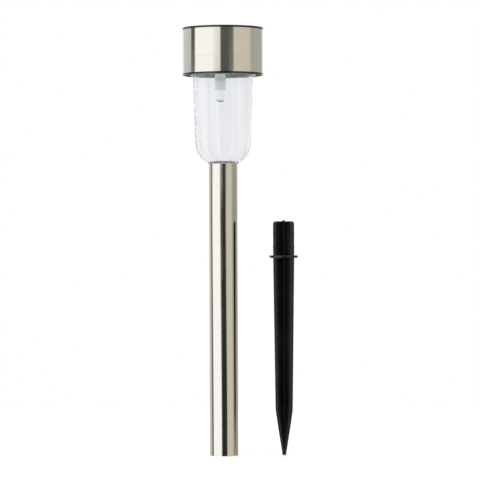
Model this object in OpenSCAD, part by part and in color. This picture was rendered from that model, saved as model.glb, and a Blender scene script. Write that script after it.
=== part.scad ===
// Solar garden light: a steel cap with a solar panel, battery and LED, a fluted clear
// lens, a plain steel tube, and a loose ground spike that stands beside the light.
// The spike's plug fits up into the tube's lower mouth when the light is put together.
// Millimetres, +Z up. The origin is the centre of the tube's lower mouth.

/* [Tube] */
// Outside diameter of the steel tube
tube_d = 16.8; // [16:0.1:18]
// Length of the steel tube
tube_h = 171.2; // [140:0.1:240]
// Wall of the steel tube
tube_wall = 0.5; // [0.4:0.1:0.6]

/* [Lens] */
// Outside diameter of the lens where it enters the cap
lens_d = 35.2; // [34.6:0.1:35.2]
// Height of the lens between the tube and the cap
lens_h = 51.8; // [46:0.1:62]
// Wall of the lens
lens_wall = 1.4; // [1.2:0.1:1.6]
// How much narrower the radius is at the shoulder than at the cap
lens_taper = 1.2; // [0.8:0.1:1.5]
// Height of the rounded shoulder at the lens's foot
shoulder_h = 12.7; // [12:0.1:15]
// Radius of the shoulder's arc
shoulder_r = 14.35; // [14:0.05:18]
// Number of grooves round the lens
flutes = 20; // [16:1:24]
// Depth of each groove
flute_depth = 0.3; // [0.2:0.05:0.6]
// How far the lens is turned in the tube, in degrees
flute_turn = 3.5; // [0:0.5:18]
// Length of the spigot that goes down into the tube
spigot_h = 7.5; // [6:0.5:7.5]

/* [Cap] */
// Outside diameter of the steel drum
cap_d = 47; // [46.8:0.1:48]
// Height of the cap from its lower lip to its top rim
cap_h = 28; // [28:0.5:32]
// Wall of the steel drum
steel_wall = 0.4; // [0.3:0.05:0.4]
// Height of the black rim that shows above and below the drum
rim_h = 1.1; // [0.8:0.1:1.4]
// Depth of the collar that holds the lens's top
collar_h = 6.3; // [5.8:0.1:6.5]

/* [Solar panel] */
// Side of the square panel
panel_w = 25.2; // [22:0.2:26]
// Number of cells in the panel
cell_count = 4; // [2:1:6]

/* [Electrics] */
// Battery diameter, two thirds of a AAA cell in length
battery_d = 10.5; // [10:0.1:10.5]
// Battery length with its button
battery_h = 30; // [28:0.5:30]
// Sideways offset of the LED from the lens's centre
led_x = -1.5; // [-2:0.1:-1]
// Travel of the on/off slide switch
switch_travel = 2; // [1.5:0.1:2]

/* [Ground spike] */
// Distance from the tube's centre to the spike standing beside it
spike_x = 35.3; // [34:0.1:60]
// Length from the tip to the underside of the flange
blade_h = 115.8; // [90:0.1:150]
// Length of the plug above the flange
plug_h = 20; // [16:0.5:24]
// Thickness of each fin
fin_t = 2; // [1.6:0.1:2.4]
// Span across opposite fins just below the flange
fin_span = 15.4; // [14:0.1:15.4]
// Span across opposite fins where the point starts
fin_span_low = 12.2; // [10:0.1:13]
// Height of the pointed end
point_h = 26; // [18:1:30]

/* [Hidden] */
$fn = 96;
eps = 0.02;

tube_r = tube_d / 2;
bore_r = tube_r - tube_wall;
seat_r = bore_r + 0.2;
seat_h = spigot_h + 0.4;
spigot_r = seat_r - 0.08;
spigot_wall = 1.2;

lens_r = lens_d / 2;
lens_z0 = tube_h;
shoulder_z = lens_z0 + shoulder_h;
waist_r = lens_r - lens_taper;
arc_x = waist_r - shoulder_r;
groove_r = 1.3;
groove_tilt = atan(lens_taper / (lens_h - shoulder_h));
floor_h = 1.4;

cap_r = cap_d / 2;
cap_z0 = lens_z0 + lens_h;
cap_z1 = cap_z0 + cap_h;
rim_r = cap_r + 0.1;
drum_z0 = cap_z0 + rim_h;
drum_z1 = cap_z1 - rim_h;
skirt_r = cap_r - steel_wall - 0.15;
skirt_wall = 1.4;
lip_wall = 0.9;
ledge_z = cap_z0 + 2.2;
ledge_h = 1.4;
ledge_top = ledge_z + ledge_h;
collar_r = lens_r + 0.1;
collar_wall = 1.7;
disc_z = cap_z0 + collar_h;
disc_h = 1.4;
disc_top = disc_z + disc_h;
lens_top = disc_z - 0.25;

pocket_z = cap_z1 - 2.6;
pocket_floor = 1;
housing_z = pocket_z - pocket_floor;
glue_h = 0.3;
board_h = 1.2;
cell_h = 0.25;
cell_gap = 0.6;
cell_margin = 1.2;
cell_z = pocket_z + glue_h + board_h;
resin_top = cap_z1 - 0.25;
cell_w = (panel_w - 2 * cell_margin - (cell_count - 1) * cell_gap) / cell_count;
cell_len = panel_w - 2 * cell_margin;
ribbon_w = 1.2;
ribbon_h = 0.1;

boss_ring = 13.6;
boss_r = 2.4;
screw_r = 0.95;
screw_head_r = 1.9;
screw_head_h = 1.3;
screw_len = 8;
boss_angles = [90, 210, 330];

battery_r = battery_d / 2;
battery_y = 5;
battery_z = housing_z - battery_r - 0.25;
button_h = 1;
sleeve_t = 0.2;
cradle_x = 17.4;
cradle_wall = 1;
contact_t = 0.4;
contact_w = 8;
cell_x1 = cradle_x - contact_t;
cell_x0 = cell_x1 - battery_h;
spring_wire_r = 0.3;
spring_turns = 3;

pcb_x = 18.6;
pcb_y0 = -11;
pcb_y1 = 5.5;
pcb_h = 1;
pcb_z = disc_top + 3.6;
pcb_top = pcb_z + pcb_h;
lead_pitch = 2.54;
lead_r = 0.25;

holder_r = 3.45;
holder_bore = 2.95;
holder_z = lens_top - 14.6;
led_r = 2.5;
led_flange_r = 2.9;
led_flange_h = 1;
holder_ledge = 0.5;
led_z = holder_z + holder_ledge;
led_h = 7.6;
spacer_r = 2.7;
spacer_h = 1.7;
spacer_z = led_z + led_flange_h + 4.1;

switch_x = 7.2;
switch_w = 3.7;
switch_l = 8.6;
switch_h = 3.4;
switch_z = pcb_z - switch_h;
shell_t = 0.3;
knob_w = 1.6;
knob_l = 2.2;
knob_drop = 1.4;
carriage_w = 2.4;
carriage_l = 4.4;
carriage_h = 1.7;
base_z = switch_z + shell_t + carriage_h + 0.1;

chip_pos = [6, -8.4];
coil_pos = [-3.2, -8.4];
coil_body = 6.6;
coil_r = 1.7;
coil_span = 10;
wire_r = 0.55;
wire_gap = 0.3;

flange_r = tube_r;
flange_h = 1.5;
flange_top = blade_h + flange_h;
plug_corner = 1.5;
tip_r = 1;
bump_r = 0.6;
bump_out = 0.15;
bump_heights = [4.7, 13.7];
core_r = 1.7;
nub_r = 0.75;
nub_h = 0.7;

// ---- helpers ----

module ring(r_out, r_in, h) {
    difference() {
        cylinder(r = r_out, h = h);
        translate([0, 0, -eps])
            cylinder(r = r_in, h = h + 2 * eps);
    }
}

module block(size, at) {
    translate([at.x - size.x / 2, at.y - size.y / 2, at.z])
        cube(size);
}

function unit(v) = v / norm(v);

function bezier(a, b, c, d, t) =
    pow(1 - t, 3) * a + 3 * t * pow(1 - t, 2) * b
    + 3 * t * t * (1 - t) * c + t * t * t * d;

function curve(a, b, c, d, steps) = [for (i = [0:steps]) bezier(a, b, c, d, i / steps)];

function heading(path, i) =
    unit(path[min(i + 1, len(path) - 1)] - path[max(i - 1, 0)]);

// Round wire along a path; across is any direction the path never runs along
module wire(path, r, across, sides = 8) {
    rings = [
        for (i = [0:len(path) - 1])
            let (t = heading(path, i), u = unit(cross(t, across)), v = cross(t, u))
                for (k = [0:sides - 1])
                    path[i] + r * (cos(360 * k / sides) * u + sin(360 * k / sides) * v)
    ];
    last = (len(path) - 1) * sides;
    skin = [
        for (i = [0:len(path) - 2], k = [0:sides - 1])
            let (a = i * sides + k, b = i * sides + (k + 1) % sides)
                each [[a, b + sides, b], [a, a + sides, b + sides]]
    ];
    start_cap = [[for (k = [0:sides - 1]) k]];
    end_cap = [[for (k = [sides - 1:-1:0]) last + k]];
    polyhedron(points = rings, faces = concat(start_cap, skin, end_cap));
}

module at_bosses() {
    for (angle = boss_angles)
        rotate(angle)
            translate([boss_ring, 0, 0])
                children();
}

// ---- tube, lens and spike ----

// The bore is opened out at the top, where the lens's spigot sits
module tube() {
    color("silver") {
        ring(tube_r, bore_r, tube_h - seat_h);
        translate([0, 0, tube_h - seat_h])
            ring(tube_r, seat_r, seat_h);
    }
}

// Half outline of the lens's cup, thinner than the outside by inset
module cup_outline(inset, top) {
    polygon([
        [0, shoulder_z - eps],
        [waist_r - inset, shoulder_z - eps],
        [lens_r - inset, cap_z0],
        [lens_r - inset, top],
        [0, top]
    ]);
    intersection() {
        translate([arc_x, shoulder_z])
            circle(r = shoulder_r - inset);
        translate([0, lens_z0 + (inset > 0 ? floor_h : 0)])
            square([lens_r, shoulder_h]);
    }
}

module lens_grooves() {
    for (i = [0:flutes - 1])
        rotate(i * 360 / flutes - 90)
            translate([waist_r + groove_r - flute_depth, 0, shoulder_z])
                rotate([0, groove_tilt, 0])
                    translate([0, 0, -shoulder_h])
                        cylinder(r = groove_r, h = lens_h + 0.5);
}

module lens() {
    color("lightcyan", 0.5)
        rotate(flute_turn) {
            difference() {
                rotate_extrude()
                    difference() {
                        cup_outline(0, lens_top);
                        cup_outline(lens_wall, lens_top + 1);
                    }
                lens_grooves();
            }
            translate([0, 0, lens_z0 - spigot_h])
                ring(spigot_r, spigot_r - spigot_wall, spigot_h + floor_h / 2);
        }
}

// Outline of one pair of fins below the flange, drawn across X and up Y
module blade_outline() {
    polygon([
        [-fin_span / 2, blade_h + flange_h / 2],
        [-fin_span_low / 2, point_h],
        [-tip_r, tip_r],
        [tip_r, tip_r],
        [fin_span_low / 2, point_h],
        [fin_span / 2, blade_h + flange_h / 2]
    ]);
    translate([0, tip_r])
        circle(r = tip_r);
}

module plug_outline() {
    translate([-fin_span / 2, blade_h])
        square([fin_span, flange_h + plug_h - plug_corner]);
    translate([-fin_span / 2 + plug_corner, blade_h])
        square([fin_span - 2 * plug_corner, flange_h + plug_h]);
    for (side = [-1, 1]) {
        translate([side * (fin_span / 2 - plug_corner), flange_top + plug_h - plug_corner])
            circle(r = plug_corner);
        for (h = bump_heights)
            translate([side * (fin_span / 2 - bump_r + bump_out), flange_top + h])
                circle(r = bump_r);
    }
}

module spike() {
    color("#161616")
        translate([spike_x, 0, 0]) {
            for (angle = [45, 135])
                rotate([90, 0, angle])
                    translate([0, 0, -fin_t / 2])
                        linear_extrude(fin_t) {
                            blade_outline();
                            plug_outline();
                        }
            translate([0, 0, point_h])
                cylinder(r = core_r, h = flange_top + plug_h - point_h - 1);
            translate([0, 0, blade_h])
                cylinder(r = flange_r, h = flange_h);
            translate([0, 0, flange_top + plug_h - eps])
                cylinder(r = nub_r, h = nub_h);
        }
}

// ---- cap shells ----

module steel_cap() {
    color("silver")
        translate([0, 0, drum_z0])
            ring(cap_r, cap_r - steel_wall, drum_z1 - drum_z0);
}

// Ribs under the roof that hold the battery and its contacts
module battery_cradle() {
    side_y = battery_r + 0.2 + cradle_wall / 2;
    drop = battery_r + 4;
    for (side = [-1, 1]) {
        block([cradle_wall, 2 * side_y + cradle_wall, drop],
              [side * (cradle_x + cradle_wall / 2), battery_y, housing_z - drop]);
        block([2 * cradle_x, cradle_wall, battery_r],
              [0, battery_y + side * side_y, housing_z - battery_r]);
    }
}

module top_housing() {
    frame_w = panel_w + 0.4;
    color("#1c1c1e")
        difference() {
            union() {
                translate([0, 0, drum_z1])
                    ring(rim_r, rim_r - 1.4, rim_h);
                translate([0, 0, drum_z1])
                    cylinder(r = rim_r - 0.7, h = rim_h - 0.35);
                translate([0, 0, housing_z])
                    cylinder(r = skirt_r, h = drum_z1 - housing_z + 0.1);
                block([frame_w + 3, frame_w + 3, 1], [0, 0, cap_z1 - 1.1]);
                translate([0, 0, ledge_top])
                    ring(skirt_r, skirt_r - skirt_wall, housing_z - ledge_top + 0.1);
                at_bosses()
                    translate([0, 0, disc_top])
                        cylinder(r = boss_r, h = housing_z - disc_top + 0.1);
                battery_cradle();
            }
            block([frame_w, frame_w, 4], [0, 0, pocket_z]);
            block([4, 2.4, 4], [0, -8, housing_z - 1]);
            at_bosses()
                translate([0, 0, disc_top - eps])
                    cylinder(r = screw_r + 0.05, h = screw_len);
        }
}

module bottom_cover() {
    color("#1c1c1e")
        difference() {
            union() {
                translate([0, 0, cap_z0])
                    ring(rim_r, rim_r - lip_wall, rim_h);
                translate([0, 0, cap_z0])
                    ring(skirt_r, rim_r - lip_wall, ledge_top - cap_z0);
                translate([0, 0, ledge_z])
                    ring(skirt_r - 0.1, collar_r, ledge_h);
                translate([0, 0, cap_z0])
                    ring(collar_r + collar_wall, collar_r, disc_top - cap_z0);
                translate([0, 0, disc_z])
                    cylinder(r = collar_r + 0.5, h = disc_h);
                for (y = [-5.4, 3.5])
                    translate([-7.4, y, disc_top - 0.1])
                        cylinder(r = 1.4, h = pcb_z - disc_top + 0.1);
            }
            translate([led_x, 0, disc_z - 1])
                cylinder(r = holder_r + 0.1, h = disc_h + 2);
            block([knob_w + 0.6, knob_l + switch_travel + 0.8, disc_h + 2],
                  [switch_x, 0, disc_z - 1]);
            at_bosses()
                translate([0, 0, disc_z - 1])
                    cylinder(r = screw_r + 0.2, h = disc_h + 2);
        }
}

module cover_screws() {
    color("gainsboro")
        at_bosses()
            difference() {
                union() {
                    translate([0, 0, disc_z - screw_head_h])
                        cylinder(r = screw_head_r, h = screw_head_h);
                    translate([0, 0, disc_z - 0.1])
                        cylinder(r = screw_r, h = screw_len);
                }
                for (angle = [0, 90])
                    rotate(angle)
                        block([2.2, 0.5, 0.9], [0, 0, disc_z - screw_head_h - 0.1]);
            }
}

// ---- solar panel ----

module panel_adhesive() {
    color("ivory")
        difference() {
            block([panel_w - 2, panel_w - 2, glue_h], [0, 0, pocket_z]);
            block([6, 5, 1], [0, -8, pocket_z - 0.3]);
        }
}

module panel_board() {
    color("darkgreen")
        block([panel_w, panel_w, board_h], [0, 0, pocket_z + glue_h]);
}

module solar_cells() {
    color("#14202e")
        for (i = [0:cell_count - 1])
            block([cell_w, cell_len, cell_h],
                  [(i - (cell_count - 1) / 2) * (cell_w + cell_gap), 0, cell_z]);
}

module cell_ribbons() {
    color("lightgray")
        for (i = [0:cell_count - 1])
            block([ribbon_w, cell_len - 1, ribbon_h],
                  [(i - (cell_count - 1) / 2) * (cell_w + cell_gap), 0, cell_z + cell_h]);
}

module panel_resin() {
    color("lightcyan", 0.3)
        difference() {
            block([panel_w, panel_w, resin_top - cell_z], [0, 0, cell_z]);
            for (i = [0:cell_count - 1]) {
                x = (i - (cell_count - 1) / 2) * (cell_w + cell_gap);
                block([cell_w, cell_len, cell_h + 0.1], [x, 0, cell_z - 0.1]);
                block([ribbon_w, cell_len - 1, cell_h + ribbon_h + 0.1], [x, 0, cell_z - 0.1]);
            }
        }
}

// ---- circuit board and what it carries ----

module lead_holes() {
    hole_xy = concat(
        [for (s = [-1, 1]) [led_x + s * lead_pitch / 2, 0]],
        [for (s = [-1, 1]) [coil_pos.x + s * coil_span / 2, coil_pos.y]],
        [for (k = [-1.5:1.5]) [chip_pos.x + k * 1.27, chip_pos.y]],
        [for (k = [-1:1]) [switch_x, k * 2.5]]
    );
    for (p = hole_xy)
        translate([p.x, p.y, pcb_z - 1])
            cylinder(r = lead_r + 0.15, h = pcb_h + 2, $fn = 24);
}

module circuit_board() {
    color("seagreen")
        difference() {
            block([pcb_x, pcb_y1 - pcb_y0, pcb_h], [0, (pcb_y0 + pcb_y1) / 2, pcb_z]);
            lead_holes();
        }
}

module driver_chip() {
    color("#222222") {
        block([5.1, 1.5, 3.2], [chip_pos.x, chip_pos.y, pcb_top + 0.8]);
        for (k = [-1.5:1.5])
            block([0.4, 0.3, pcb_h + 1.8],
                  [chip_pos.x + k * 1.27, chip_pos.y, pcb_z - 0.6]);
    }
}

module inductor() {
    color("darkseagreen")
        translate([coil_pos.x, coil_pos.y, pcb_top + coil_r + 0.1]) {
            rotate([0, 90, 0])
                cylinder(r = coil_r - 0.15, h = coil_body, center = true);
            for (s = [-1, 1]) {
                translate([s * (coil_body / 2 - 0.7), 0, 0])
                    rotate([0, 90, 0])
                        cylinder(r = coil_r, h = 1.4, center = true);
                translate([s * coil_span / 4, 0, 0])
                    rotate([0, 90, 0])
                        cylinder(r = lead_r, h = coil_span / 2, center = true, $fn = 24);
                translate([s * coil_span / 2, 0, 0])
                    sphere(r = lead_r, $fn = 24);
                translate([s * coil_span / 2, 0, -coil_r - pcb_h - 0.6])
                    cylinder(r = lead_r, h = coil_r + pcb_h + 0.6, $fn = 24);
            }
        }
}

module switch_shell() {
    color("lightgray")
        difference() {
            block([switch_w, switch_l, switch_h], [switch_x, 0, switch_z]);
            block([switch_w - 2 * shell_t, switch_l - 2 * shell_t, switch_h],
                  [switch_x, 0, switch_z + shell_t]);
            block([knob_w + 0.3, knob_l + switch_travel + 0.4, 1],
                  [switch_x, 0, switch_z - 0.5]);
        }
}

module switch_base() {
    color("peru") {
        block([switch_w - 2 * shell_t - 0.1, switch_l - 2 * shell_t - 0.1, pcb_z - base_z],
              [switch_x, 0, base_z]);
        for (k = [-1:1])
            block([0.5, 0.3, pcb_h + 1.2], [switch_x, k * 2.5, pcb_z - 0.2]);
    }
}

module switch_knob() {
    color("#202020")
        translate([switch_x, -switch_travel / 2, 0]) {
            block([carriage_w, carriage_l, carriage_h], [0, 0, switch_z + shell_t + 0.05]);
            block([knob_w, knob_l, switch_z + shell_t + 1 - disc_z + knob_drop],
                  [0, 0, disc_z - knob_drop]);
        }
}

// ---- battery ----

module battery_cell() {
    color("silver")
        translate([cell_x0, battery_y, battery_z])
            rotate([0, 90, 0]) {
                cylinder(r = battery_r - sleeve_t, h = battery_h - button_h);
                cylinder(r = 2, h = battery_h);
            }
}

module battery_sleeve() {
    color("forestgreen")
        translate([cell_x0 + 0.6, battery_y, battery_z])
            rotate([0, 90, 0])
                ring(battery_r, battery_r - sleeve_t, battery_h - button_h - 1.2);
}

module battery_contact_plus() {
    color("gainsboro")
        block([contact_t, contact_w, contact_w],
              [cradle_x - contact_t / 2, battery_y, battery_z - contact_w / 2]);
}

module battery_contact_minus() {
    color("gainsboro")
        block([contact_t, contact_w, contact_w],
              [-cradle_x + contact_t / 2, battery_y, battery_z - contact_w / 2]);
}

module battery_spring() {
    x0 = -cradle_x + contact_t + spring_wire_r;
    x1 = cell_x0 - spring_wire_r;
    steps = 14 * spring_turns;
    path = [
        for (i = [0:steps])
            let (f = i / steps, r = 3.4 - 1.2 * f, a = 360 * spring_turns * f)
                [x0 + (x1 - x0) * f, battery_y + r * cos(a), battery_z + r * sin(a)]
    ];
    color("gainsboro")
        wire(path, spring_wire_r, [1, 0, 0]);
}

// ---- LED ----

module led_lamp() {
    color("whitesmoke", 0.7)
        translate([led_x, 0, 0]) {
            translate([0, 0, led_z])
                cylinder(r = led_flange_r, h = led_flange_h);
            translate([0, 0, led_z - led_h + led_r])
                cylinder(r = led_r, h = led_h - led_r + 0.1);
            translate([0, 0, led_z - led_h + led_r])
                sphere(r = led_r);
        }
}

module led_leads() {
    color("gainsboro")
        for (s = [-1, 1])
            translate([led_x + s * lead_pitch / 2, 0, led_z + led_flange_h])
                cylinder(r = lead_r, h = pcb_top + 0.8 - led_z - led_flange_h, $fn = 24);
}

// Disc that keeps the LED's two legs apart inside the holder
module lead_spacer() {
    color("mediumseagreen")
        translate([led_x, 0, spacer_z])
            difference() {
                cylinder(r = spacer_r, h = spacer_h);
                for (s = [-1, 1])
                    translate([s * lead_pitch / 2, 0, -1])
                        cylinder(r = lead_r + 0.05, h = spacer_h + 2, $fn = 24);
            }
}

module led_holder() {
    color("ghostwhite", 0.8)
        translate([led_x, 0, 0]) {
            translate([0, 0, holder_z])
                ring(holder_r, led_r + 0.05, holder_ledge);
            translate([0, 0, led_z - eps])
                ring(holder_r, holder_bore, disc_top + 0.8 - led_z + eps);
            translate([0, 0, disc_top])
                ring(holder_r + 0.8, holder_bore, 0.8);
        }
}

// ---- wires ----

module panel_wire(side) {
    x = side * 1.1;
    top = [x, -8, pocket_z + glue_h];
    end = [x + side * 0.6, -5, pcb_top + wire_gap];
    wire(curve(top, top - [0, 0, 6], end + [0, 0, 6], end, 16), wire_r, [1, 0, 0]);
}

module battery_wire(side) {
    start = [side * (cradle_x - contact_t / 2), 1.8, battery_z - contact_w / 2 - wire_gap];
    end = [side * 8.2, -3.3, pcb_top + wire_gap];
    wire(curve(start, start - [0, 0, 2.2], end + [side * 1.4, 0, 3], end, 16), wire_r, [0, 1, 0]);
}

module panel_wire_red() {
    color("red")
        panel_wire(1);
}

module panel_wire_black() {
    color("black")
        panel_wire(-1);
}

module battery_wire_red() {
    color("red")
        battery_wire(1);
}

module battery_wire_black() {
    color("black")
        battery_wire(-1);
}

tube();
lens();
spike();
steel_cap();
top_housing();
bottom_cover();
cover_screws();
panel_adhesive();
panel_board();
solar_cells();
cell_ribbons();
panel_resin();
circuit_board();
driver_chip();
inductor();
switch_shell();
switch_base();
switch_knob();
battery_cell();
battery_sleeve();
battery_contact_plus();
battery_contact_minus();
battery_spring();
led_lamp();
led_leads();
lead_spacer();
led_holder();
panel_wire_red();
panel_wire_black();
battery_wire_red();
battery_wire_black();
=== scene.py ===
"""Solar garden light: brushed steel cap and tube, fluted clear lens, loose black ground spike."""
import math

import bpy
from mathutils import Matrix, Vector


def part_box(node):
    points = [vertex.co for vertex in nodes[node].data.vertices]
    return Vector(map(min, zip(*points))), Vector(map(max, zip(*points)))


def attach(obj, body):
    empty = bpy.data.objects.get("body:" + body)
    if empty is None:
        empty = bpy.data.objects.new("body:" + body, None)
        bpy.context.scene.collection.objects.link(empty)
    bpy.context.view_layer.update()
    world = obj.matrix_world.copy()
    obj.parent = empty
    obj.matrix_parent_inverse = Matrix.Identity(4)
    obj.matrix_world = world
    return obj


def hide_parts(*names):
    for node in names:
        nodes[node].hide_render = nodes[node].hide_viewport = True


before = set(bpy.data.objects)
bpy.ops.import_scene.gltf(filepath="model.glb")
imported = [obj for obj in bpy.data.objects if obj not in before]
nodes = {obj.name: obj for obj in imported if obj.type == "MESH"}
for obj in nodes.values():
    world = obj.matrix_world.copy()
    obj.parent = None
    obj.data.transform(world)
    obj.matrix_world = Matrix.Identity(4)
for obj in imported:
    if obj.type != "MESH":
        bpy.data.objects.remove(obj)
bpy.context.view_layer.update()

MM = 0.001
TAU = 2 * math.pi
# Edges sharper than this stay sharp in the shading.
SHARP_EDGE = math.radians(35)
# How far the guard points beside an arc stand off it.
GUARD = 0.03 * MM


# ---------------------------------------------------------------- mesh helpers

def add_mesh(name, verts, faces):
    """A new object from points in metres, smooth except across sharp edges."""
    mesh = bpy.data.meshes.new(name)
    mesh.from_pydata(verts, [], faces)
    mesh.validate()
    mesh.update()
    mesh.shade_smooth()
    mesh.set_sharp_from_angle(angle=SHARP_EDGE)
    piece = bpy.data.objects.new(name, mesh)
    bpy.context.scene.collection.objects.link(piece)
    return piece


def rounded(corners, steps=5):
    """Points of a closed outline whose corners (x, y, radius) are rounded by arcs.

    A point just before and after each arc keeps the straight sides' shading flat.
    """
    points = []
    count = len(corners)
    for i, (x, y, radius) in enumerate(corners):
        here = Vector((x, y))
        if radius <= 0:
            points.append(tuple(here))
            continue
        to_last = (Vector(corners[i - 1][:2]) - here).normalized()
        to_next = (Vector(corners[(i + 1) % count][:2]) - here).normalized()
        half = to_last.angle(to_next) / 2
        reach = radius / math.tan(half)
        centre = here + (to_last + to_next).normalized() * (radius / math.sin(half))
        start = here + to_last * reach - centre
        turn = start.angle_signed(here + to_next * reach - centre)
        points.append(tuple(here + to_last * (reach + GUARD)))
        for k in range(steps + 1):
            a = -turn * k / steps
            points.append((centre.x + start.x * math.cos(a) - start.y * math.sin(a),
                           centre.y + start.x * math.sin(a) + start.y * math.cos(a)))
        points.append(tuple(here + to_next * (reach + GUARD)))
    return points


def lathe(name, outline, segments=192, x=0.0, radius=None):
    """A closed outline of (radius, height) points in metres, turned about the upright axis at x.

    radius(i, angle) may give outline point i another radius at each angle.
    """
    verts, rings = [], []
    for i, (r, z) in enumerate(outline):
        if r < 1e-7:
            rings.append([len(verts)])
            verts.append((x, 0.0, z))
            continue
        rings.append(list(range(len(verts), len(verts) + segments)))
        for k in range(segments):
            a = TAU * k / segments
            ra = radius(i, a) if radius else r
            verts.append((x + ra * math.cos(a), ra * math.sin(a), z))
    area = sum(outline[i - 1][0] * z - r * outline[i - 1][1] for i, (r, z) in enumerate(outline))
    faces = []
    for i, ring in enumerate(rings):
        after = rings[(i + 1) % len(rings)]
        for k in range(segments):
            k2 = (k + 1) % segments
            if len(ring) > 1 and len(after) > 1:
                faces.append((ring[k], ring[k2], after[k2], after[k]))
            elif len(ring) > 1:
                faces.append((ring[k], ring[k2], after[0]))
            elif len(after) > 1:
                faces.append((ring[0], after[k2], after[k]))
    if area < 0:
        faces = [face[::-1] for face in faces]
    return add_mesh(name, verts, faces)


def loft(name, rings):
    """A solid through closed rings of equally many points, capped at both ends."""
    size = len(rings[0])
    verts = [p for ring in rings for p in ring]
    faces = [tuple(reversed(range(size))), tuple(range(len(verts) - size, len(verts)))]
    for i in range(len(rings) - 1):
        for k in range(size):
            a, b = i * size + k, i * size + (k + 1) % size
            faces.append((a, b, b + size, a + size))
    return add_mesh(name, verts, faces)


def join(pieces):
    """One object from several, keeping the first one's name."""
    bpy.ops.object.select_all(action="DESELECT")
    for piece in pieces:
        piece.select_set(True)
    bpy.context.view_layer.objects.active = pieces[0]
    bpy.ops.object.join()
    return pieces[0]


def stand_for(piece, node, body, material):
    """piece replaces a CAD node on its body, in that material."""
    piece.data.materials.clear()
    piece.data.materials.append(material)
    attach(piece, body)
    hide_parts(node)
    return piece


# ------------------------------------------------------------ material helpers

class Look:
    """A Principled material built a node at a time."""

    def __init__(self, name, **sockets):
        self.material = bpy.data.materials.new(name)
        self.material.use_nodes = True
        self.tree = self.material.node_tree
        self.shader = self.tree.nodes["Principled BSDF"]
        for socket, value in sockets.items():
            self.shader.inputs[socket.replace("_", " ")].default_value = value

    def node(self, kind, inputs=None, **settings):
        made = self.tree.nodes.new(kind)
        for key, value in settings.items():
            setattr(made, key, value)
        for key, value in (inputs or {}).items():
            if isinstance(value, bpy.types.NodeSocket):
                self.tree.links.new(value, made.inputs[key])
            else:
                made.inputs[key].default_value = value
        return made

    def link(self, source, socket):
        self.tree.links.new(source, self.shader.inputs[socket])

    def place(self, scale):
        """Object coordinates, in metres, stretched by scale."""
        coords = self.node("ShaderNodeTexCoord")
        return self.node("ShaderNodeMapping", {"Vector": coords.outputs["Object"], "Scale": scale}
                         ).outputs["Vector"]

    def noise(self, scale, detail=3.0, roughness=0.55):
        return self.node("ShaderNodeTexNoise", {"Vector": self.place(scale), "Scale": 1.0,
                                                "Detail": detail, "Roughness": roughness}
                         ).outputs["Fac"]

    def between(self, value, low, high, start=0.3, end=0.7):
        """value, from start to end, turned into low to high."""
        return self.node("ShaderNodeMapRange", {"Value": value, "From Min": start, "From Max": end,
                                                "To Min": low, "To Max": high}
                         ).outputs["Result"]

    def mix(self, value, low, high, start=0.3, end=0.7):
        """Two colours mixed by value."""
        made = self.node("ShaderNodeMix", data_type="RGBA")
        self.tree.links.new(self.between(value, 0.0, 1.0, start, end), made.inputs["Factor"])
        for key, colour in ((6, low), (7, high)):
            if isinstance(colour, bpy.types.NodeSocket):
                self.tree.links.new(colour, made.inputs[key])
            else:
                made.inputs[key].default_value = (*colour, 1.0)
        return made.outputs[2]

    def bump(self, height, depth, strength):
        """Bump of a real depth in metres."""
        made = self.node("ShaderNodeBump", {"Height": height, "Strength": strength,
                                            "Distance": depth})
        self.link(made.outputs["Normal"], "Normal")


def brushed_steel():
    """Steel brushed round the upright axis, in thin streaks, with a soft haze over it."""
    look = Look("brushed_steel", Metallic=1.0, Anisotropic=0.65)
    streaks = look.noise((9, 9, 5200), detail=3, roughness=0.6)
    haze = look.noise((45, 45, 30), detail=2)
    look.link(look.mix(streaks, (0.60, 0.58, 0.55), (0.70, 0.685, 0.655)), "Base Color")
    worn = look.node("ShaderNodeMath", {0: look.between(streaks, 0.06, 0.10),
                                        1: look.between(haze, -0.01, 0.03)}, operation="ADD")
    look.link(worn.outputs[0], "Roughness")
    turned = look.node("ShaderNodeTangent", direction_type="RADIAL", axis="Z")
    look.link(turned.outputs["Tangent"], "Tangent")
    look.shader.inputs["Anisotropic Rotation"].default_value = 0.25
    look.bump(streaks, 0.001 * MM, 0.4)
    return look.material


def clear_plastic(name, tint, rough, ior=1.49, clear=1.0, drawn=(180, 180, 60), spread=0.0):
    """Clear plastic with faint ripples drawn out along it, which vary the tint by spread."""
    look = Look(name, IOR=ior, Transmission_Weight=clear)
    ripple = look.noise(drawn, detail=2)
    pale = tuple(min(1.0, c + spread) for c in tint)
    look.link(look.mix(ripple, tuple(c - spread for c in tint), pale), "Base Color")
    look.link(look.between(ripple, rough * 0.6, rough * 1.4), "Roughness")
    look.bump(ripple, 0.01 * MM, 0.4)
    return look.material


def milky_plastic():
    """White plastic with a painted green band at the spacer's height, standing in for the green
    spacer showing through the wall.
    """
    green_to, white_from = 0.6 * MM, 1.6 * MM
    low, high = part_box("lead_spacer")
    look = Look("holder_plastic", Transmission_Weight=0.08, IOR=1.4)
    cloud = look.noise((300, 300, 200), detail=2)
    white = look.mix(cloud, (0.98, 0.99, 0.96), (0.995, 0.995, 0.98))
    height = look.node("ShaderNodeSeparateXYZ", {0: look.place((1, 1, 1))}).outputs["Z"]
    away = look.node("ShaderNodeMath", {0: height, 1: (low.z + high.z) / 2}, operation="SUBTRACT")
    away = look.node("ShaderNodeMath", {0: away.outputs[0]}, operation="ABSOLUTE")
    # Painted light: a green band by height, fading to white away from the spacer, in place of the
    # spacer's colour coming through the wall.
    look.link(look.mix(away.outputs[0], (0.62, 0.96, 0.78), white, green_to, white_from),
              "Base Color")
    look.link(look.between(cloud, 0.1, 0.2), "Roughness")
    return look.material


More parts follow.
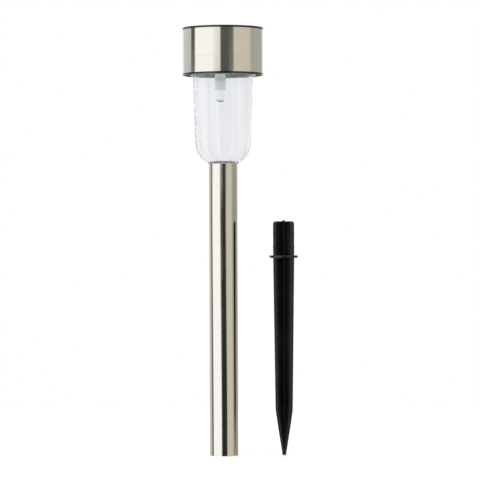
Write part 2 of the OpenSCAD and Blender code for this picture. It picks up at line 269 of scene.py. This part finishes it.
def moulded_plastic(name, dark, light, low, high, grain=3000):
    """Opaque plastic with a fine grain, in two close colours and roughness low to high."""
    look = Look(name, IOR=1.5)
    texture = look.noise((grain, grain, grain), detail=4, roughness=0.65)
    cloud = look.noise((70, 70, 40), detail=3)
    look.link(look.mix(cloud, dark, light), "Base Color")
    look.link(look.between(cloud, low, high), "Roughness")
    look.bump(texture, 0.02 * MM, 0.6)
    return look.material


def cover_plastic():
    """Black at the lip, with painted light underneath: a grey that stands in for the brightness the
    underside shows through the lens.
    """
    lip_inside, lip_outside = 22.2 * MM, 22.6 * MM
    look = Look("cover_plastic", IOR=1.5)
    flat = look.node("ShaderNodeVectorMath", {0: look.place((1, 1, 0))}, operation="LENGTH")
    cloud = look.noise((160, 160, 40), detail=3)
    # Painted light: the grey underside stands in for light seen on it through the lens; the plastic
    # itself is the black of the lip.
    painted_light_grey = look.mix(cloud, (0.10, 0.10, 0.105), (0.24, 0.24, 0.25))
    look.link(look.mix(flat.outputs["Value"], painted_light_grey, (0.012, 0.012, 0.013),
                       lip_inside, lip_outside), "Base Color")
    look.link(look.between(cloud, 0.15, 0.25), "Roughness")
    look.bump(look.noise((3000, 3000, 3000), detail=4), 0.01 * MM, 0.5)
    return look.material


def plated_metal(name, dark, light, low, high):
    """Plating with fine marks, in two close colours and roughness low to high."""
    look = Look(name, Metallic=1.0)
    marks = look.noise((900, 900, 900), detail=5, roughness=0.7)
    look.link(look.mix(marks, dark, light), "Base Color")
    look.link(look.between(marks, low, high), "Roughness")
    look.bump(marks, 0.01 * MM, 0.5)
    return look.material


def silicon():
    """Dark blue cell with fine printed fingers across it."""
    look = Look("silicon", IOR=2.2)
    grains = look.node("ShaderNodeTexVoronoi", {"Vector": look.place((260, 260, 260)),
                                                "Scale": 1.0}).outputs["Distance"]
    crystal = look.mix(grains, (0.006, 0.010, 0.030), (0.016, 0.028, 0.075), 0.1, 0.9)
    across = look.node("ShaderNodeSeparateXYZ", {0: look.place((1, 1, 1))}).outputs["Y"]
    spacing = 1.2 * MM
    line, fade = 0.06 * MM, 0.1 * MM
    wave = look.node("ShaderNodeMath", {0: across, 1: spacing}, operation="PINGPONG")
    finger = look.mix(wave.outputs[0], (0.42, 0.43, 0.44), crystal, line, fade)
    look.link(finger, "Base Color")
    look.link(look.between(grains, 0.22, 0.4, 0.1, 0.9), "Roughness")
    return look.material


def laminate(name, mask, copper):
    """Circuit board: solder mask with slightly lighter tracks under it."""
    look = Look(name, IOR=1.5)
    tracks = look.node("ShaderNodeTexBrick", {"Vector": look.place((320, 320, 320)),
                                              "Scale": 1.0, "Mortar Size": 0.06,
                                              "Color1": (0, 0, 0, 1), "Color2": (0, 0, 0, 1),
                                              "Mortar": (1, 1, 1, 1)}).outputs["Fac"]
    look.link(look.mix(tracks, mask, copper, 0.0, 1.0), "Base Color")
    grain = look.noise((1500, 1500, 1500))
    look.link(look.between(grain, 0.25, 0.42), "Roughness")
    look.bump(tracks, 0.03 * MM, 0.5)
    return look.material


# ------------------------------------------------------------------ the studio

EYE = (0.0097, -1.5275, 0.1264)
FOCAL_LENGTH = 195.0
ROLL = math.radians(0.2)


def camera():
    """A long lens level with the middle of the light, rolled a little as the object leans."""
    data = bpy.data.cameras.new("camera")
    data.sensor_width = 36.0
    data.lens = FOCAL_LENGTH
    eye = bpy.data.objects.new("camera", data)
    eye.location = EYE
    eye.rotation_euler = (math.radians(90), ROLL, 0.0)
    bpy.context.scene.collection.objects.link(eye)
    bpy.context.scene.camera = eye


# Panels of light and dark that stand round the object: from, to, colour.
# Degrees from the camera's side of the object, positive towards +X.
PANELS = (
    (-180, -160, (1.00, 1.00, 0.99)),
    (-150, -105, (0.80, 0.79, 0.78)),
    (-101.5, -89, (0.09, 0.09, 0.09)),
    (-85.5, -30, (1.42, 1.40, 1.35)),
    (-9.5, -8.5, (1.20, 1.16, 1.10)),
    (-5, 28, (0.14, 0.14, 0.125)),
    (34, 84, (0.85, 0.79, 0.65)),
    (90, 150, (0.56, 0.55, 0.50)),
    (162, 180, (1.00, 1.00, 0.99)),
)
# The same up to a little above eye level, where the panel in front is darker.
LOW_PANELS = (
    (-180, -162, (1.00, 1.00, 0.99)),
    (-152, -111, (0.74, 0.73, 0.72)),
    (-107.5, -94, (0.09, 0.09, 0.09)),
    (-90.5, -21, (1.46, 1.44, 1.40)),
    (-13.5, 25.5, (0.035, 0.035, 0.026)),
    (29.5, 74, (0.84, 0.78, 0.61)),
    (88, 148, (0.44, 0.43, 0.39)),
    (160, 180, (1.00, 1.00, 0.99)),
)
# How far the low panels lean to the left on the way up, in degrees round the object.
LEAN = 9.5
OVERHEAD = (1.9, 1.9, 1.92)
# Heights above eye level, in degrees: where the low panels lean, where the upper panels
# take over from them, and where the light overhead takes over.
LEANING = (-4, 0.5)
UPPER = (2.1, 2.9)
TOP = (38, 62)


def studio_light():
    """Soft panels all round and a broad soft light overhead, white where the camera looks."""
    world = bpy.data.worlds.new("studio")
    bpy.context.scene.world = world
    world.use_nodes = True
    tree = world.node_tree
    tree.nodes.clear()

    def node(kind, *links, **settings):
        made = tree.nodes.new(kind)
        for key, value in settings.items():
            setattr(made, key, value)
        for source, socket in links:
            tree.links.new(source, made.inputs[socket])
        return made

    coords = node("ShaderNodeTexCoord")
    way = node("ShaderNodeSeparateXYZ", (coords.outputs["Generated"], 0))
    behind = node("ShaderNodeMath", (way.outputs["Y"], 0), operation="MULTIPLY")
    behind.inputs[1].default_value = -1.0
    angle = node("ShaderNodeMath", (way.outputs["X"], 0), (behind.outputs[0], 1),
                 operation="ARCTAN2")
    turn = node("ShaderNodeMapRange", (angle.outputs[0], "Value"))
    turn.inputs["From Min"].default_value = -math.pi
    turn.inputs["From Max"].default_value = math.pi

    def ramp(panels, spot):
        """The panels' colour at a spot round the object, 0 to 1."""
        made = node("ShaderNodeValToRGB", (spot, "Fac"))
        stops = made.color_ramp.elements
        stops.remove(stops[-1])
        spots = [(degrees, colour) for start, end, colour in panels for degrees in (start, end)]
        for i, (degrees, colour) in enumerate(spots):
            stop = stops.new(0.5 + degrees / 360) if i else stops[0]
            stop.position = 0.5 + degrees / 360
            stop.color = (*colour, 1.0)
        return made.outputs["Color"]

    def rising(start, end, top=1.0, shape="SMOOTHSTEP"):
        """0 to top between two heights above eye level, in degrees."""
        made = node("ShaderNodeMapRange", (way.outputs["Z"], "Value"), interpolation_type=shape)
        made.inputs["From Min"].default_value = math.sin(math.radians(start))
        made.inputs["From Max"].default_value = math.sin(math.radians(end))
        made.inputs["To Max"].default_value = top
        return made.outputs["Result"]

    leaning = node("ShaderNodeMath", (turn.outputs["Result"], 0),
                   (rising(*LEANING, LEAN / 360, "LINEAR"), 1), operation="ADD")
    around = node("ShaderNodeMix", (rising(*UPPER), "Factor"),
                  (ramp(LOW_PANELS, leaning.outputs[0]), 6),
                  (ramp(PANELS, turn.outputs["Result"]), 7), data_type="RGBA")
    sky = node("ShaderNodeMix", (rising(*TOP), "Factor"), (around.outputs[2], 6),
               data_type="RGBA")
    sky.inputs[7].default_value = (*OVERHEAD, 1.0)
    lit = node("ShaderNodeBackground", (sky.outputs[2], "Color"))
    plain = node("ShaderNodeBackground")
    plain.inputs["Color"].default_value = (1.0, 1.0, 1.0, 1.0)
    path = node("ShaderNodeLightPath")
    through = node("ShaderNodeMath", (path.outputs["Transmission Depth"], 0),
                   operation="GREATER_THAN")
    seen = node("ShaderNodeMath", (path.outputs["Is Camera Ray"], 0), (through.outputs[0], 1),
                operation="MAXIMUM")
    shown = node("ShaderNodeMixShader", (seen.outputs[0], 0), (lit.outputs[0], 1),
                 (plain.outputs[0], 2))
    node("ShaderNodeOutputWorld", (shown.outputs[0], "Surface"))


def floor():
    """A round sheet of white card under the object."""
    radius, thick = 0.45, 1 * MM
    card = lathe("floor", [(0.0, 0.0), (radius, 0.0), (radius, -thick), (0.0, -thick)], 96)
    look = Look("white_card", Base_Color=(0.93, 0.93, 0.93, 1.0))
    paper = look.noise((900, 900, 900), detail=4)
    look.link(look.between(paper, 0.55, 0.7), "Roughness")
    look.bump(paper, 0.03 * MM, 0.3)
    card.data.materials.append(look.material)
    card.visible_glossy = False
    card.visible_transmission = False


# ------------------------------------------------------------------- the parts

def make_tube(material):
    """The tube, opened out at the top for the lens's spigot."""
    low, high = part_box("tube")
    outer = high.x
    inner = outer - 0.5 * MM
    seat = outer - 0.3 * MM
    step = high.z - 7.9 * MM
    foot_edge, top_edge, step_edge = 0.12 * MM, 0.1 * MM, 0.05 * MM
    outline = rounded([(inner, low.z, foot_edge), (outer, low.z, foot_edge),
                       (outer, high.z, top_edge), (seat, high.z, top_edge),
                       (seat, step, step_edge), (inner, step, step_edge)], 3)
    return stand_for(lathe("steel_tube", outline), "tube", "post", material)


def make_drum(material):
    """The steel round the cap."""
    low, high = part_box("steel_cap")
    outer = high.x
    inner = outer - 0.4 * MM
    edge = 0.15 * MM
    outline = rounded([(inner, low.z, edge), (outer, low.z, edge),
                       (outer, high.z, edge), (inner, high.z, edge)], 3)
    return stand_for(lathe("steel_drum", outline, 256), "steel_cap", "head", material)


# Grooves round the lens: how many, the angle of one of them, their depth and half width.
FLUTES = 20
GROOVE_AT = math.radians(-90 + 3.5)
GROOVE_DEPTH = 0.08 * MM
GROOVE_WIDTH = 1.1 * MM


def make_lens(material):
    """The cup: a tapered wall, an arc down to the tube, a flat floor and a hollow spigot."""
    low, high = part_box("lens")
    tube_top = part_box("tube")[1].z
    cap_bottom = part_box("bottom_cover")[0].z
    rim = high.x
    taper = 1.2 * MM
    wall = 1.4 * MM
    waist = rim - taper
    shoulder = tube_top + 12.7 * MM
    bend = 14.35 * MM
    floor_h = 1.4 * MM
    chamfer = 0.3 * MM
    spigot = 8.02 * MM
    bore = spigot - 1.2 * MM
    centre = waist - bend
    wall_steps, inner_steps, arc_steps = 24, 6, 14

    def arc(radius, bottom):
        """Points from the shoulder down to a height, round the shoulder's centre."""
        end = math.asin((shoulder - bottom) / radius)
        return [(centre + radius * math.cos(end * k / arc_steps),
                 shoulder - radius * math.sin(end * k / arc_steps))
                for k in range(arc_steps + 1)]

    corners = [(rim, high.z - chamfer, 0)]
    for k in range(wall_steps + 1):
        f = k / wall_steps
        corners.append((rim - taper * f, cap_bottom + (shoulder - cap_bottom) * f, 0))
    corners += [(*p, 0) for p in arc(bend, tube_top + 0.5 * MM)[1:]]
    lip = centre + math.sqrt(bend ** 2 - (shoulder - tube_top) ** 2)
    corners += [(lip, tube_top, 0.15 * MM), (spigot, tube_top, 0.1 * MM),
                (spigot, low.z, 0.2 * MM), (bore, low.z, 0.2 * MM), (bore, tube_top, 0.1 * MM),
                (0.0, tube_top, 0), (0.0, tube_top + floor_h, 0)]
    corners += [(*p, 0) for p in arc(bend - wall, tube_top + floor_h)[::-1]]
    for k in range(1, inner_steps + 1):
        f = k / inner_steps
        corners.append((waist - wall + taper * f, shoulder + (cap_bottom - shoulder) * f, 0))
    corners += [(rim - wall, high.z - chamfer, 0), (rim - wall + chamfer, high.z, 0),
                (rim - chamfer, high.z, 0)]
    outline = rounded(corners, 3)

    def fluted(i, angle):
        """Radius of an outline point: grooved on the outer wall and arc, fading out at the foot."""
        r, z = outline[i]
        if i > wall_steps + arc_steps:
            return r
        fade = min(1.0, (z - tube_top) / (4 * MM))
        across = math.remainder(angle - GROOVE_AT, TAU / FLUTES) * r / GROOVE_WIDTH
        return r - GROOVE_DEPTH * max(0.0, fade) * math.exp(-across ** 2)

    points_per_flute = 20
    piece = lathe("fluted_lens", outline, FLUTES * points_per_flute, radius=fluted)
    return stand_for(piece, "lens", "lens_cup", material)


def make_spike(material):
    """Cross-shaped blade and plug with rounded fins, a round flange and a moulding gate."""
    low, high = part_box("spike")
    axis_x = (low.x + high.x) / 2
    flange_r = (high.x - low.x) / 2
    top = high.z - 0.68 * MM
    plug_h, flange_h = 20 * MM, 1.5 * MM
    flange_top = top - plug_h
    flange_bottom = flange_top - flange_h
    inside_flange = 0.7 * MM
    point = 26 * MM
    thick, thin = 2.0 * MM, 1.4 * MM
    span_top, span_low, span_tip = 15.4 * MM, 12.2 * MM, 1.5 * MM
    bump_r, bump_out = 0.6 * MM, 0.15 * MM
    plug_corner = 1.5 * MM
    point_steps, thin_steps, blade_steps, bump_steps, corner_steps = 8, 5, 12, 4, 5

    def ring(z, span, t):
        """One cross-section: four fins with rounded ends and filleted roots."""
        r = span / 2
        end = 0.08 * MM
        root = min(0.2 * MM, (r - t / 2) * 0.3)
        corners = []
        for k in range(4):
            a = math.radians(45 + 90 * k)
            along, across = Vector((math.cos(a), math.sin(a))), Vector((-math.sin(a), math.cos(a)))
            for u, v, fillet in ((r, -t / 2, end), (r, t / 2, end), (t / 2, t / 2, root)):
                p = along * u + across * v
                corners.append((p.x, p.y, fillet))
        return [(axis_x + x, y, z) for x, y in rounded(corners, 4)]

    def span_at(z):
        """Span across opposite fins of the blade at a height."""
        if z >= point:
            return span_low + (span_top - span_low) * (z - point) / (flange_bottom - point)
        return span_tip + (span_low - span_tip) * (z / point)

    # The blunt tip: height above the lowest point, span and fin thickness.
    tip = ((0.0, 1.0 * MM, 0.7 * MM), (0.25 * MM, 1.9 * MM, 1.2 * MM))
    rings = [ring(low.z + up, span, t) for up, span, t in tip]
    for k in range(1, point_steps + 1):
        z = point * k / point_steps
        rings.append(ring(z, span_at(z), min(thick, thin + (thick - thin) * k / thin_steps)))
    for k in range(1, blade_steps + 1):
        z = point + (flange_bottom + inside_flange - point) * k / blade_steps
        rings.append(ring(z, min(span_top, span_at(z)), thick))
    blade = loft("ground_spike", rings)

    bumps = [flange_top + 4.7 * MM, flange_top + 13.7 * MM]
    heights = [flange_top - inside_flange]
    for b in bumps:
        heights += [b + bump_r * k / bump_steps for k in range(-bump_steps, bump_steps + 1)]
    heights.append(top - plug_corner)
    rings = []
    for z in heights:
        swell = sum(math.sqrt(max(0.0, 1 - ((z - b) / bump_r) ** 2)) for b in bumps)
        rings.append(ring(z, span_top + 2 * bump_out * swell, thick))
    for k in range(1, corner_steps + 1):
        a = math.radians(90 * k / corner_steps)
        drop = plug_corner * (1 - math.sin(a))
        inset = plug_corner * (1 - math.cos(a))
        rings.append(ring(top - drop, span_top - 2 * inset, thick))
    plug = loft("plug", rings)

    edge = 0.35 * MM
    flange = lathe("flange", rounded([(0, flange_bottom, 0), (flange_r, flange_bottom, edge),
                                      (flange_r, flange_top, edge), (0, flange_top, 0)], 4),
                   96, x=axis_x)
    nub_r, nub_foot = 0.75 * MM, top - 0.2 * MM
    nub = lathe("nub", rounded([(0, nub_foot, 0), (nub_r, nub_foot, 0),
                                (nub_r, high.z, 0.3 * MM), (0, high.z, 0)], 3),
                24, x=axis_x)
    return stand_for(join([blade, plug, flange, nub]), "spike", "ground_spike", material)


def make_led(material):
    """A 5 mm LED hanging dome down from its flange."""
    low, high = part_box("led_lamp")
    x = (low.x + high.x) / 2
    flange = (high.x - low.x) / 2
    body = 2.5 * MM
    neck = high.z - 1.0 * MM
    dome_steps = 8
    outline = [(0.0, low.z)]
    for k in range(1, dome_steps + 1):
        a = math.radians(90 * k / dome_steps)
        outline.append((body * math.sin(a), low.z + body * (1 - math.cos(a))))
    outline += rounded([(body, neck, 0.05 * MM), (flange, neck, 0.15 * MM),
                        (flange, high.z, 0.15 * MM), (0, high.z, 0)], 3)
    return stand_for(lathe("led_body", outline, 64, x=x), "led_lamp", "head", material)


def make_holder(material):
    """The pale tube round the LED, with a ledge at its foot and a flange at its top."""
    low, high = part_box("led_holder")
    x = (low.x + high.x) / 2
    flange = (high.x - low.x) / 2
    outer = flange - 0.8 * MM
    bore = outer - 0.5 * MM
    ledge = outer - 0.9 * MM
    seat = low.z + 0.5 * MM
    collar = high.z - 0.8 * MM
    outline = rounded([(ledge, low.z, 0.1 * MM), (outer, low.z, 0.2 * MM),
                       (outer, collar, 0.05 * MM), (flange, collar, 0.15 * MM),
                       (flange, high.z, 0.15 * MM), (bore, high.z, 0.1 * MM),
                       (bore, seat, 0.02 * MM), (ledge, seat, 0.05 * MM)], 3)
    return stand_for(lathe("led_tube", outline, 64, x=x), "led_holder", "head", material)


def soften(node, width):
    """Small rounded edges on a CAD node that stays."""
    piece = nodes[node]
    weld = piece.modifiers.new("weld", "WELD")
    weld.merge_threshold = 0.002 * MM
    bevel = piece.modifiers.new("bevel", "BEVEL")
    bevel.width = width
    bevel.segments = 3
    bevel.limit_method = "ANGLE"
    bevel.angle_limit = math.radians(40)
    bevel.harden_normals = False


def paint(material, *names):
    """Gives CAD nodes that stay a material."""
    for name in names:
        slots = nodes[name].data.materials
        slots.clear()
        slots.append(material)


steel = brushed_steel()
make_tube(steel)
make_drum(steel)
make_lens(clear_plastic("clear_lens", (0.93, 0.937, 0.965), 0.015, 1.33, clear=0.96,
                        drawn=(300, 300, 7), spread=0.055))
make_spike(moulded_plastic("spike_plastic", (0.0015, 0.0015, 0.0015), (0.003, 0.003, 0.0028),
                           0.24, 0.34, grain=1600))
make_led(clear_plastic("led_epoxy", (0.90, 0.94, 0.95), 0.02, 1.53))
make_holder(milky_plastic())

black = moulded_plastic("black_plastic", (0.010, 0.010, 0.011), (0.016, 0.016, 0.017), 0.3, 0.42)
paint(black, "top_housing", "switch_knob")
paint(cover_plastic(), "bottom_cover")
paint(silicon(), "solar_cells")
paint(clear_plastic("clear_resin", (0.97, 0.985, 0.98), 0.03, 1.53), "panel_resin")
paint(laminate("panel_laminate", (0.02, 0.05, 0.03), (0.04, 0.09, 0.05)), "panel_board")
paint(laminate("board_laminate", (0.02, 0.16, 0.06), (0.05, 0.26, 0.11)), "circuit_board")
paint(moulded_plastic("chip_epoxy", (0.012, 0.012, 0.012), (0.02, 0.02, 0.02), 0.4, 0.55),
      "driver_chip")
paint(moulded_plastic("inductor_coat", (0.10, 0.30, 0.18), (0.14, 0.38, 0.24), 0.2, 0.35),
      "inductor")
paint(moulded_plastic("phenolic", (0.30, 0.16, 0.07), (0.38, 0.21, 0.10), 0.45, 0.6),
      "switch_base")
paint(moulded_plastic("foam_adhesive", (0.62, 0.60, 0.52), (0.74, 0.72, 0.64), 0.8, 0.95),
      "panel_adhesive")
paint(moulded_plastic("battery_wrap", (0.015, 0.20, 0.07), (0.03, 0.26, 0.10), 0.18, 0.3),
      "battery_sleeve")
paint(moulded_plastic("green_spacer", (0.03, 0.50, 0.30), (0.06, 0.62, 0.40), 0.35, 0.5),
      "lead_spacer")
paint(moulded_plastic("wire_red", (0.42, 0.01, 0.01), (0.55, 0.02, 0.015), 0.35, 0.5),
      "panel_wire_red", "battery_wire_red")
paint(moulded_plastic("wire_black", (0.01, 0.01, 0.01), (0.02, 0.02, 0.02), 0.35, 0.5),
      "panel_wire_black", "battery_wire_black")
paint(plated_metal("plated_steel", (0.56, 0.56, 0.55), (0.70, 0.70, 0.69), 0.18, 0.34),
      "cover_screws", "switch_shell", "battery_contact_plus", "battery_contact_minus",
      "battery_spring")
paint(plated_metal("nickel_can", (0.55, 0.54, 0.51), (0.66, 0.65, 0.62), 0.2, 0.3), "battery_cell")
paint(plated_metal("tinned_copper", (0.60, 0.60, 0.58), (0.74, 0.74, 0.72), 0.25, 0.4),
      "cell_ribbons", "led_leads")

soften("top_housing", 0.25 * MM)
soften("bottom_cover", 0.25 * MM)

camera()
studio_light()
floor()
bpy.context.scene.view_settings.view_transform = "Standard"
cycles = bpy.context.scene.cycles
cycles.blur_glossy = 0.0
cycles.max_bounces = 32
cycles.glossy_bounces = 24
cycles.transmission_bounces = 24
